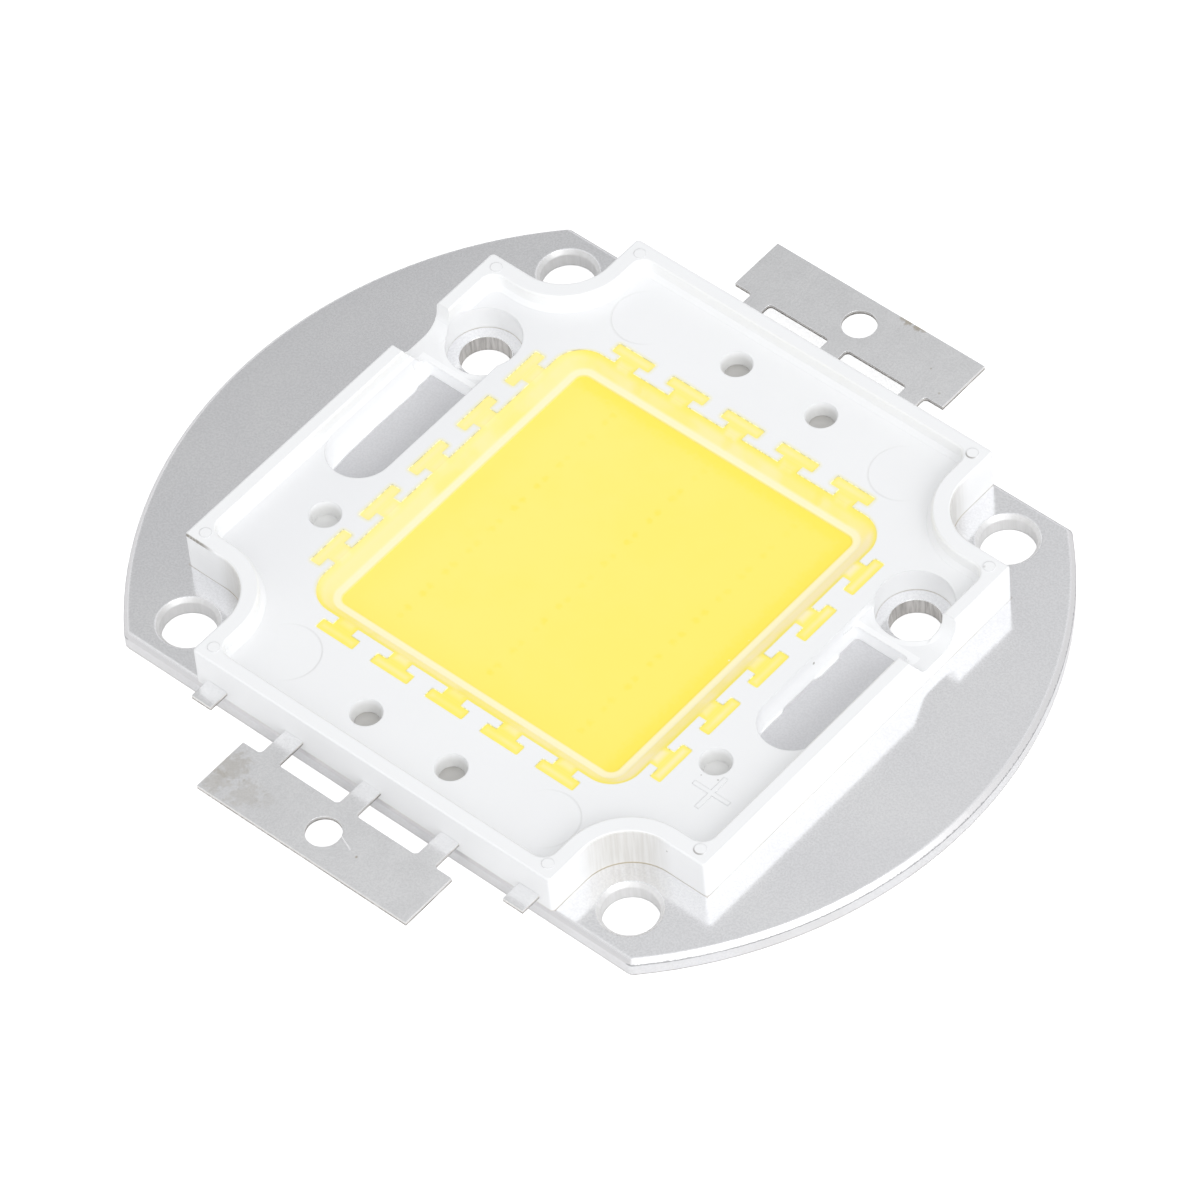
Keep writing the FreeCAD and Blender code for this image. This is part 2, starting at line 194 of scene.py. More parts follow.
cupShape = {  # mm, the silicone's outline seen from above
    "bandHalf": (12.13, 12.38),
    "bandCorner": 2.0,
    "keyPitch": (4.2275, 4.3525),     # along X on the +Y and -Y sides, along Y on the others
    "keyHeadHalf": (1.435, 1.475),
    "keyStemHalf": 0.73,
    "keyStemLength": 0.58,
    "keyHeadDepth": 0.76,
    "keyRounding": 0.16,
    "keysEachWay": 2.0,
    "cornerBlend": 0.2,               # how softly keys and band run into each other
}


def keyDistance(tree, along, across, pitch, headHalf):  # plan distance to one side's row of T-shaped keys
    shape = cupShape
    turn = calc(tree, "ROUND", calc(tree, "DIVIDE", along, pitch))
    turn = calc(tree, "MAXIMUM", calc(tree, "MINIMUM", turn, shape["keysEachWay"]), -shape["keysEachWay"])
    local = calc(tree, "SUBTRACT", along, calc(tree, "MULTIPLY", turn, pitch))
    neck = shape["keyStemLength"]
    headPlace = planPlace(tree, local, calc(tree, "SUBTRACT", across, neck + shape["keyHeadDepth"] / 2))
    head = boxDistance(tree, headPlace, headHalf, shape["keyHeadDepth"] / 2, shape["keyRounding"])
    stem = boxDistance(tree, planPlace(tree, local, across), shape["keyStemHalf"], neck, 0.01)
    return calc(tree, "SMOOTH_MIN", head, stem, shape["cornerBlend"])


def makeSiliconeOutline():  # plan distance to the outline of band and keys, corners rounded
    shape = cupShape
    group, inn, out = startGroup("siliconeOutline", [("Place", "NodeSocketVector", None)],
                                 [("Distance", "NodeSocketFloat")])
    px, py = splitPlace(group, inn.outputs["Place"])[:2]
    bandX, bandY = shape["bandHalf"]
    band = boxDistance(group, inn.outputs["Place"], bandX, bandY, shape["bandCorner"])
    acrossY = calc(group, "SUBTRACT", calc(group, "ABSOLUTE", py), bandY)
    acrossX = calc(group, "SUBTRACT", calc(group, "ABSOLUTE", px), bandX)
    onY = keyDistance(group, px, acrossY, shape["keyPitch"][0], shape["keyHeadHalf"][0])
    onX = keyDistance(group, py, acrossX, shape["keyPitch"][1], shape["keyHeadHalf"][1])
    blend = shape["cornerBlend"]
    both = calc(group, "SMOOTH_MIN", calc(group, "SMOOTH_MIN", band, onY, blend), onX, blend)
    plug(group, out.inputs["Distance"], both)
    return group


frameShape = {  # mm, the frame's outline seen from above
    "half": (20.0, 20.05),
    "notch": (17.05, 17.15, 3.3),     # middle and radius of each corner notch
    "windowMiddle": (16.6, -0.6),
    "windowReach": (2.6, 7.0),        # a little more than the windows themselves
}


def makeFrameOutline():  # plan distance to the notched outline, positive outside it, and a mask of the two windows
    shape = frameShape
    group, inn, out = startGroup("frameOutline", [("Place", "NodeSocketVector", None)],
                                 [("Distance", "NodeSocketFloat"), ("Window", "NodeSocketFloat")])
    px, py = splitPlace(group, inn.outputs["Place"])[:2]
    ax = calc(group, "ABSOLUTE", px)
    ay = calc(group, "ABSOLUTE", py)
    halfX, halfY = shape["half"]
    notchX, notchY, notchR = shape["notch"]
    middleX, middleY = shape["windowMiddle"]
    reachX, reachY = shape["windowReach"]
    square = calc(group, "MAXIMUM", calc(group, "SUBTRACT", ax, halfX), calc(group, "SUBTRACT", ay, halfY))
    hx = calc(group, "MINIMUM", calc(group, "SUBTRACT", ax, notchX), 0.0)
    hy = calc(group, "MINIMUM", calc(group, "SUBTRACT", ay, notchY), 0.0)
    notch = calc(group, "SUBTRACT", notchR, planDistance(group, hx, hy))
    plug(group, out.inputs["Distance"], calc(group, "MAXIMUM", square, notch))
    nearX = calc(group, "LESS_THAN", apart(group, ax, middleX), reachX)
    nearY = calc(group, "LESS_THAN", apart(group, py, middleY), reachY)
    plug(group, out.inputs["Window"], calc(group, "MULTIPLY", nearX, nearY))
    return group


pinHoles = {  # mm, the frame's six blind holes
    "pair": (3.27, 16.7),   # four of them, two over each lead
    "side": (15.05, -7.0),  # one in front of each window
    "radius": 1.0,          # at the top
}


def pinDistance(tree, px, py):  # plan distance to the nearest blind hole's axis
    ax, ay = calc(tree, "ABSOLUTE", px), calc(tree, "ABSOLUTE", py)
    pair = planDistanceTo(tree, ax, ay, *pinHoles["pair"])
    side = planDistanceTo(tree, ax, py, *pinHoles["side"])
    return calc(tree, "MINIMUM", pair, side)


grainGroup = makeGrain()
specksGroup = makeSpecks()
stainGroup = makeStain()
siliconeOutlineGroup = makeSiliconeOutline()
frameOutlineGroup = makeFrameOutline()
print("shared effects done")


def startMaterial(name):
    material = bpy.data.materials.new(name)
    material.use_nodes = True
    tree = material.node_tree
    tree.nodes.clear()
    shader = tree.nodes.new("ShaderNodeBsdfPrincipled")
    output = tree.nodes.new("ShaderNodeOutputMaterial")
    tree.links.new(shader.outputs[0], output.inputs[0])
    return material, tree, shader, placeInMm(tree)


def bump(tree, height, strength, distance, normal=None):
    node = addNode(tree, "ShaderNodeBump", {"Strength": strength, "Distance": distance * mm, "Height": height})
    if normal is not None:
        plug(tree, node.inputs["Normal"], normal)
    return node.outputs[0]


def softEdges(tree, radius):
    return addNode(tree, "ShaderNodeBevel", {"Radius": radius * mm}, samples=6).outputs[0]


def layer(tree, base, mask, strength, tint):  # lays a tint over a colour where the mask is white
    return mixColour(tree, calc(tree, "MULTIPLY", mask, strength), base, tint)


def addStains(tree, place, base, stains, tint):  # rows of x, y, z, radius, strength
    for x, y, z, radius, strength in stains:
        mask = placeGroup(tree, stainGroup, {"Place": place, "Centre": (x, y, z), "Radius": radius})["Mask"]
        base = layer(tree, base, mask, strength, tint)
    return base


def addSpecks(tree, place, base, specks, tint):  # spacing, radius, share of places taken, strength
    spacing, radius, share, strength = specks
    mask = placeGroup(tree, specksGroup, {"Place": place, "Spacing": spacing, "Radius": radius,
                                          "Share": share})["Mask"]
    return layer(tree, base, mask, strength, tint)


# plated copper base plate

plateLook = {
    "metal": colour(0.975, 0.975, 0.985),
    "patch": colour(0.945, 0.945, 0.96),
    "matt": colour(0.635, 0.635, 0.65),    # dull plating at the bottom of the left window, darkened by painted shade
    "mattRight": colour(0.695, 0.695, 0.71),
    "shear": colour(0.40, 0.40, 0.41),     # ragged line where the sheared side begins
    "shearHeight": 0.87,
    "sparkle": 0.045,      # how far the fine grain lightens and darkens the plating
    # brown grime, also used for the painted contact shade at the foot of the outer side
    "grimeAndShade": colour(0.42, 0.36, 0.27),
    "holeLight": colour(0.85, 0.845, 0.845),
    "holeDark": colour(0.79, 0.785, 0.78),
    "wornEdge": colour(0.80, 0.79, 0.795),
    "sideHoleLight": colour(0.90, 0.88, 0.86),
    "sideHoleDark": colour(0.60, 0.58, 0.56),
    "sideRough": colour(0.84, 0.83, 0.83),
    "roughness": 0.11,
    "grainSize": 0.13,     # mm
    "patchSize": 7.0,
    "grainBump": 0.02,
    "dust": (1.3, 0.06, 0.12, 0.5),    # spacing, radius, share, strength
    "rim": (27.65, 19.8),  # mm from the axis and from the X axis, where the worn edge begins
    "top": 1.2,
    "sideHole": (16.65, 9.05, 1.6),
    "recess": 2.38,        # radius of the frame's recess round a side hole
    "cornerHole": (17.05, 17.15, 1.7),
    "holeBevel": 0.27,
}


def makePlateMaterial():
    look = plateLook
    material, tree, shader, place = startMaterial("satinPlating")
    px, py, pz = splitPlace(tree, place)
    ax = calc(tree, "ABSOLUTE", px)
    ay = calc(tree, "ABSOLUTE", py)
    grain = placeGroup(tree, grainGroup, {"Place": place, "Grain Size": look["grainSize"],
                                          "Patch Size": look["patchSize"]})
    base = mixColour(tree, smooth(tree, grain["Patch"], 0.35, 0.65), look["patch"], look["metal"])
    outlineNode = placeGroup(tree, frameOutlineGroup, {"Place": place})
    outline = outlineNode["Distance"]
    onTop = smooth(tree, pz, look["top"] - 0.1, look["top"] - 0.05)
    steepness = steepnessOf(tree)
    # duller plating at the bottom of the windows, with painted shade that makes the left window's darker than the right
    # window's
    matt = calc(tree, "MULTIPLY", outlineNode["Window"], calc(tree, "LESS_THAN", outline, 0.0))
    matt = calc(tree, "MULTIPLY", matt, onTop)
    base = mixColour(tree, matt, base, mixColour(tree, smooth(tree, px, -5.0, 5.0), look["matt"], look["mattRight"]))
    glint = smooth(tree, grain["Height"], 0.35, 0.65, 1.0 - look["sparkle"], 1.0 + look["sparkle"] * 0.6)
    base = addNode(tree, "ShaderNodeVectorMath", {0: base, 3: glint}, operation="SCALE").outputs[0]
    # brown line where the frame stands on the plate
    fromFrame = calc(tree, "ABSOLUTE", outline)
    contact = calc(tree, "MULTIPLY", smooth(tree, fromFrame, calc(tree, "MULTIPLY", grain["Patch"], 0.09), 0.0), onTop)
    nearNotch = calc(tree, "MULTIPLY", smooth(tree, ax, 12.5, 14.0), smooth(tree, ay, 12.5, 14.0, 0.1, 0.7))
    base = layer(tree, base, contact, nearNotch, look["grimeAndShade"])
    # broken line where the screw recesses meet the plate
    holeX, holeY, holeR = look["sideHole"]
    cornerX, cornerY, cornerR = look["cornerHole"]
    sideHole = planDistanceTo(tree, ax, py, holeX, holeY)
    cornerHole = planDistanceTo(tree, ax, ay, cornerX, cornerY)
    ring = smooth(tree, apart(tree, sideHole, look["recess"]), 0.1, 0.03)
    ring = calc(tree, "MULTIPLY", ring, onTop)
    base = layer(tree, base, ring, smooth(tree, grain["Patch"], 0.35, 0.6, 0.1, 0.4), look["grimeAndShade"])
    # walls of the holes, with upright streaks from the punch
    inHole = calc(tree, "MAXIMUM", smooth(tree, sideHole, holeR + 0.05, holeR + 0.02),
                  smooth(tree, cornerHole, cornerR + look["holeBevel"], cornerR + look["holeBevel"] - 0.05))
    inHole = calc(tree, "MULTIPLY", inHole, smooth(tree, pz, look["top"] - 0.005, look["top"] - 0.05))
    upright = addNode(tree, "ShaderNodeVectorMath", {0: place, 1: (1.0, 1.0, 0.08)}, operation="MULTIPLY").outputs[0]
    streaks = addNode(tree, "ShaderNodeTexNoise", {"Vector": upright, "Scale": 3.5, "Detail": 4.0, "Roughness": 0.7})
    wall = mixColour(tree, smooth(tree, streaks.outputs["Fac"], 0.35, 0.65), look["holeDark"], look["holeLight"])
    sideWall = mixColour(tree, smooth(tree, streaks.outputs["Fac"], 0.35, 0.65), look["sideHoleDark"],
                         look["sideHoleLight"])
    wall = mixColour(tree, smooth(tree, sideHole, holeR + 0.1, holeR + 0.05), wall, sideWall)
    base = mixColour(tree, inHole, base, wall)
    # outer side: torn by the punch, with a dark line at its foot that is painted contact shade where it meets the floor
    low = smooth(tree, pz, look["top"] - 0.3, look["top"] - 0.35)
    side = calc(tree, "MULTIPLY", calc(tree, "MULTIPLY", low, steepness), calc(tree, "SUBTRACT", 1.0, inHole))
    torn = calc(tree, "MULTIPLY", side, smooth(tree, grain["Patch"], 0.45, 0.6))
    base = layer(tree, base, torn, 0.5, look["sideRough"])
    foot = calc(tree, "MULTIPLY", side, smooth(tree, pz, 0.1, 0.04))
    base = layer(tree, base, foot, 0.35, look["grimeAndShade"])
    base = addSpecks(tree, place, base, look["dust"], white)
    # worn rim, and the ragged line where the sheared side begins
    rough = calc(tree, "ADD", look["roughness"], calc(tree, "MULTIPLY", grain["Patch"], 0.04))
    rimX, rimY = look["rim"]
    worn = smooth(tree, calc(tree, "MAXIMUM", calc(tree, "SUBTRACT", planDistance(tree, px, py), rimX),
                             calc(tree, "SUBTRACT", ay, rimY)), 0.0, 0.15)
    base = layer(tree, base, worn, smooth(tree, pz, 0.85, 0.9, 0.2, 0.9), look["wornEdge"])
    ragged = calc(tree, "ADD", pz, calc(tree, "MULTIPLY", calc(tree, "SUBTRACT", grain["Height"], 0.5), 0.2))
    shear = calc(tree, "MULTIPLY", smooth(tree, planDistance(tree, px, py), rimX + 0.1, rimX + 0.2),
                 smooth(tree, apart(tree, ragged, look["shearHeight"]), 0.07, 0.03))
    shear = calc(tree, "MULTIPLY", shear, smooth(tree, grain["Patch"], 0.35, 0.5, 0.4, 0.9))
    farFlat = smooth(tree, calc(tree, "ADD", py, calc(tree, "MULTIPLY", grain["Height"], 0.1)), 19.95, 20.05, 0.0, 0.8)
    base = mixColour(tree, calc(tree, "MAXIMUM", shear, farFlat), base, look["shear"])
    for mask, extra in ((contact, 0.3), (inHole, 0.25), (worn, 0.22), (matt, 0.35)):
        rough = calc(tree, "ADD", rough, calc(tree, "MULTIPLY", mask, extra))
    plug(tree, shader.inputs["Base Color"], base)
    plug(tree, shader.inputs["Roughness"], rough)
    cornerWall = smooth(tree, cornerHole, cornerR + look["holeBevel"], cornerR + look["holeBevel"] - 0.05, 0.0, 0.6)
    dull = calc(tree, "MAXIMUM", matt, calc(tree, "MULTIPLY", cornerWall, inHole))
    plug(tree, shader.inputs["Metallic"], calc(tree, "SUBTRACT", 1.0, dull))
    plug(tree, shader.inputs["Normal"], bump(tree, grain["Height"], look["grainBump"], 0.02, softEdges(tree, 0.15)))
    return material


# white moulded frame

frameLook = {
    "white": colour(0.935, 0.94, 0.945),
    "shade": colour(0.925, 0.93, 0.935),
    "dirtAndShade": colour(0.30, 0.28, 0.25),
    "footGrime": colour(0.62, 0.54, 0.38),
    "glow": colour(0.93, 0.87, 0.42),      # yellow light from the silicone beside it
    "roughness": 0.42,
    "soak": 0.13,
    "recessSoak": (0.04, 0.17),            # at the left and at the right of each screw recess
    "recess": (16.65, 9.05, 2.7),
    "grainSize": 0.3,
    "patchSize": 5.0,
    "grainBump": 0.06,
    "specks": (2.9, 0.05, 0.08, 0.35),     # spacing, radius, share, strength
    "foot": 1.2,
    # painted shade for the notch walls
    "notchWallShade": colour(0.69, 0.675, 0.645),
    "floorMark": (9.95, 16.2, 2.1),        # x, y and radius of the four round ejector marks on the floor
    "floor": 2.95,
    "rimTop": 4.1,
    "pinWallShade": colour(0.80, 0.80, 0.79),
    "leftFloorShade": colour(0.88, 0.885, 0.895),
    "keyWallGlow": 0.42,   # light from the silicone in the walls of the key slots
    "plus": (16.3, -8.95, 1.6),            # middle and reach of the area round the plus sign, shaded flatter
    "crack": (-13.87, 4.04, -17.4),        # y, z and end of the dark line on the left notch's edge
    "shadowCrescents": [(19.0, -13.05), (12.83, 19.15)],     # painted shadows beside two of the ejector marks
    "shadowCrescentRadius": 0.37,
    # rows of x, y, z, radius, strength
    "stains": [(-19.95, -13.8, 3.95, 0.12, 0.9), (14.6, 2.27, 2.4, 0.14, 0.8),
               (17.13, -13.87, 3.2, 0.1, 0.6), (15.4, 15.55, 1.25, 0.25, 0.5),
               # the soft spot in the rim's inner corner at -18.45, 18.45 is painted shade
               (-18.45, 18.45, 3.3, 0.6, 0.14), (16.0, -8.0, 2.95, 0.09, 0.5), (15.0, -8.3, 2.95, 0.07, 0.5),
               (-15.0, -7.0, 2.0, 0.5, 0.3), (15.0, -7.0, 2.0, 0.5, 0.4), (18.8, 12.85, 4.12, 0.12, 0.3)],
}


def makeFrameMaterial():
    look = frameLook
    material, tree, shader, place = startMaterial("mouldedWhite")
    px, py, pz = splitPlace(tree, place)
    ax = calc(tree, "ABSOLUTE", px)
    ay = calc(tree, "ABSOLUTE", py)
    grain = placeGroup(tree, grainGroup, {"Place": place, "Grain Size": look["grainSize"],
                                          "Patch Size": look["patchSize"]})
    base = mixColour(tree, smooth(tree, grain["Patch"], 0.3, 0.7), look["shade"], look["white"])
    # broken brown line at the foot
    reach = smooth(tree, grain["Patch"], 0.40, 0.60, 0.01, 0.07)
    footLine = smooth(tree, calc(tree, "SUBTRACT", pz, look["foot"]), reach, 0.0)
    window = placeGroup(tree, frameOutlineGroup, {"Place": place})["Window"]
    recessX, recessY, recessR = look["recess"]
    recess = smooth(tree, planDistanceTo(tree, ax, py, recessX, recessY), recessR + 0.1, recessR)
    hollow = calc(tree, "MAXIMUM", window, calc(tree, "MULTIPLY", recess, 0.4))
    footLine = calc(tree, "MULTIPLY", footLine, calc(tree, "SUBTRACT", 0.6, calc(tree, "MULTIPLY", hollow, 0.6)))
    base = mixColour(tree, footLine, base, look["footGrime"])
    # notch walls: painted shade, deepest in the middle of each notch, with fine upright tool marks, and more of the
    # brown line
    notchX, notchY, notchR = frameShape["notch"]
    fromNotch = planDistanceTo(tree, ax, ay, notchX, notchY)
    deepest = calc(tree, "SUBTRACT", notchX + notchY, calc(tree, "ADD", ax, ay))
    notchWallShade = calc(tree, "MULTIPLY", smooth(tree, fromNotch, notchR + 0.08, notchR + 0.04),
                     smooth(tree, deepest, 2.7, notchR * 2 ** 0.5))
    upright = addNode(tree, "ShaderNodeVectorMath", {0: place, 1: (1.0, 1.0, 0.05)}, operation="MULTIPLY").outputs[0]
    marks = addNode(tree, "ShaderNodeTexNoise", {"Vector": upright, "Scale": 6.0, "Detail": 2.0}).outputs["Fac"]
    base = layer(tree, base, notchWallShade, smooth(tree, marks, 0.3, 0.7, 0.7, 1.0), look["notchWallShade"])
    notchFoot = calc(tree, "MULTIPLY", notchWallShade, smooth(tree, pz, look["foot"] + 0.09, look["foot"] + 0.03))
    base = layer(tree, base, notchFoot, 0.85, look["footGrime"])
    # specks, stains, and the dark line on the left notch's edge; the soft stain in the rim's inner corner at -18.45,
    # 18.45 is painted shade
    base = addSpecks(tree, place, base, look["specks"], look["dirtAndShade"])
    base = addStains(tree, place, base, look["stains"], look["dirtAndShade"])
    crackY, crackZ, crackEnd = look["crack"]
    crack = calc(tree, "MULTIPLY", smooth(tree, apart(tree, py, crackY), 0.15, 0.08),
                 smooth(tree, apart(tree, pz, crackZ), 0.14, 0.07))
    crack = calc(tree, "MULTIPLY", crack, smooth(tree, px, crackEnd, crackEnd - 1.5))
    base = layer(tree, base, crack, smooth(tree, grain["Height"], 0.3, 0.5, 0.5, 1.0), look["dirtAndShade"])
    # painted shade on the floor at the left and on the walls of the blind holes, painted shadows beside two ejector
    # marks
    onFloor = smooth(tree, apart(tree, pz, look["floor"]), 0.02, 0.01)
    base = layer(tree, base, onFloor, smooth(tree, px, -9.0, -17.0, 0.0, 0.9), look["leftFloorShade"])
    # painted shade on the walls of the blind holes
    inPin = smooth(tree, pinDistance(tree, px, py), pinHoles["radius"] + 0.02, pinHoles["radius"] - 0.03)
    inPin = calc(tree, "MULTIPLY", inPin, smooth(tree, pz, look["floor"] - 0.03, look["floor"] - 0.5))
    base = mixColour(tree, inPin, base, look["pinWallShade"])
    # painted shadow crescents beside two of the ejector marks
    for markX, markY in look["shadowCrescents"]:
        dx, dy = calc(tree, "SUBTRACT", px, markX), calc(tree, "SUBTRACT", py, markY)
        away = planDistance(tree, dx, dy)
        arc = smooth(tree, apart(tree, away, look["shadowCrescentRadius"]), 0.07, 0.02)
        arc = calc(tree, "MULTIPLY", arc, smooth(tree, calc(tree, "DIVIDE", dy, away), -0.1, -0.9, 0.0, 0.6))
        base = layer(tree, base, arc, smooth(tree, pz, look["rimTop"] - 0.1, look["rimTop"] - 0.02), look["dirtAndShade"])
    # glow beside the silicone, wider on the -X and +Y sides, where a thin film ran over the edge
    outline = placeGroup(tree, siliconeOutlineGroup, {"Place": place})["Distance"]
    filmSide = calc(tree, "MAXIMUM", smooth(tree, px, -11.0, -12.5), smooth(tree, py, 11.5, 13.0))
    width = calc(tree, "ADD", 0.1, calc(tree, "MULTIPLY", filmSide, 0.2))
    glow = smooth(tree, calc(tree, "DIVIDE", outline, width), 1.0, -0.4)
    glow = calc(tree, "MULTIPLY", glow, smooth(tree, pz, look["floor"] - 0.3, look["floor"] - 0.05))
    base = layer(tree, base, glow, 0.75, look["glow"])
    # shallow rings round the ejector marks, drawn on one side of each; the faint dark line along that side is painted
    # shade
    markX, markY, markR = look["floorMark"]
    signY = calc(tree, "SIGN", py)
    localX = calc(tree, "SUBTRACT", px, calc(tree, "MULTIPLY", calc(tree, "SIGN", px), markX))
    localY = calc(tree, "SUBTRACT", py, calc(tree, "MULTIPLY", signY, markY))
    fromMark = planDistance(tree, localX, localY)
    tilt = calc(tree, "ADD", calc(tree, "MULTIPLY", localX, -0.76), calc(tree, "MULTIPLY", localY, -0.65))
    tilt = smooth(tree, calc(tree, "DIVIDE", calc(tree, "MULTIPLY", tilt, signY), markR), -0.4, 0.9)
    ring = smooth(tree, apart(tree, fromMark, markR), 0.09, 0.02)
    disc = smooth(tree, fromMark, markR + 0.03, markR - 0.03)
    onFloor = calc(tree, "MULTIPLY", onFloor, tilt)
    relief = calc(tree, "MULTIPLY", calc(tree, "ADD", ring, disc), onFloor)
    base = layer(tree, base, calc(tree, "MULTIPLY", ring, onFloor), 0.12, look["dirtAndShade"])
    # beside the keys and round the plus sign the edges are shaded flatter
    byKeys = calc(tree, "MULTIPLY", smooth(tree, outline, 0.2, 0.1), smooth(tree, pz, look["floor"] - 0.12,
                                                                          look["floor"] - 0.06))
    plusX, plusY, plusR = look["plus"]
    byPlus = calc(tree, "MAXIMUM", apart(tree, px, plusX), apart(tree, py, plusY))
    byPlus = smooth(tree, byPlus, plusR, plusR - 0.1, 0.0, 0.5)
    flatter = calc(tree, "MAXIMUM", byKeys, byPlus)
    level = addNode(tree, "ShaderNodeMix", {0: flatter, 4: softEdges(tree, 0.09), 5: (0.0, 0.0, 1.0)},
                    data_type="VECTOR").outputs[1]
    normal = bump(tree, calc(tree, "SUBTRACT", calc(tree, "MULTIPLY", grain["Height"], look["grainBump"]), relief),
                  0.6, 0.02, level)
    plug(tree, shader.inputs["Base Color"], base)
    plug(tree, shader.inputs["Roughness"], calc(tree, "ADD", look["roughness"],
                                                calc(tree, "MULTIPLY", grain["Patch"], 0.08)))
    plug(tree, shader.inputs["Normal"], normal)
    # light that soaks through the plastic round the windows, the screw recesses and the key slots
    soaked = calc(tree, "MULTIPLY", smooth(tree, pz, 2.9, 1.7, 0.0, look["soak"]), smooth(tree, py, -5.8, -4.8))
    soaked = calc(tree, "MULTIPLY", soaked, window)
    leftSoak, rightSoak = look["recessSoak"]
    localX = calc(tree, "SUBTRACT", px, calc(tree, "MULTIPLY", calc(tree, "SIGN", px), recessX))
    inRecess = calc(tree, "MULTIPLY", recess, smooth(tree, localX, -1.0, 2.2, leftSoak, rightSoak))
    inRecess = calc(tree, "MULTIPLY", inRecess, smooth(tree, pz, look["floor"] - 0.1, look["floor"] - 1.3))
    soaked = calc(tree, "MAXIMUM", soaked, inRecess)
    soakedLight = mixColour(tree, soaked, colour(0, 0, 0), base)
    keyWall = calc(tree, "MULTIPLY", smooth(tree, outline, 0.1, 0.04), smooth(tree, pz, look["floor"] - 0.35,
                                                                            look["floor"] - 0.3))
    keyWall = calc(tree, "MULTIPLY", calc(tree, "MULTIPLY", keyWall, steepnessOf(tree)), look["keyWallGlow"])
    plug(tree, shader.inputs["Emission Color"], mixColour(tree, keyWall, soakedLight, look["glow"]))
    shader.inputs["Emission Strength"].default_value = 1.0
    return material


# silicone with phosphor

siliconeLook = {
    "light": colour(0.985, 0.845, 0.20),
    "deep": colour(0.985, 0.83, 0.145),
    "lip": colour(0.985, 0.91, 0.60),
    "band": colour(0.985, 0.86, 0.38),
    "bandRight": colour(0.985, 0.86, 0.50),
    # painted shade along the band's and keys' edges, also used for random darker patches
    "edge": colour(0.985, 0.835, 0.125),
    "shadowed": colour(0.985, 0.815, 0.09),    # strip inside the light area's edge, on the +X and +Y sides
    "hazed": colour(0.975, 0.93, 0.62),
    "dot": colour(0.93, 0.79, 0.07),
    "rim": colour(0.90, 0.90, 0.88),       # frame plastic, where a key's corner is rounder than its slot
    "spark": colour(1.0, 0.97, 0.75),
    "sparks": (2.6, 0.09, 0.14, 0.6),      # spacing, radius, share, strength
    "roughness": 0.3,
    "grainSize": 0.35,
    "patchSize": 4.0,
    "refraction": 1.41,
    "glow": 0.085,         # light from inside the cloudy fill, more from its steep sides
    "steepGlow": 0.48,
    "lightHalf": (10.6, 11.03, 0.6),
    "lipWidth": 0.42,
    "stringPitch": 7.0,
    "diePitch": 2.06,
    "padOffset": 0.36,
}


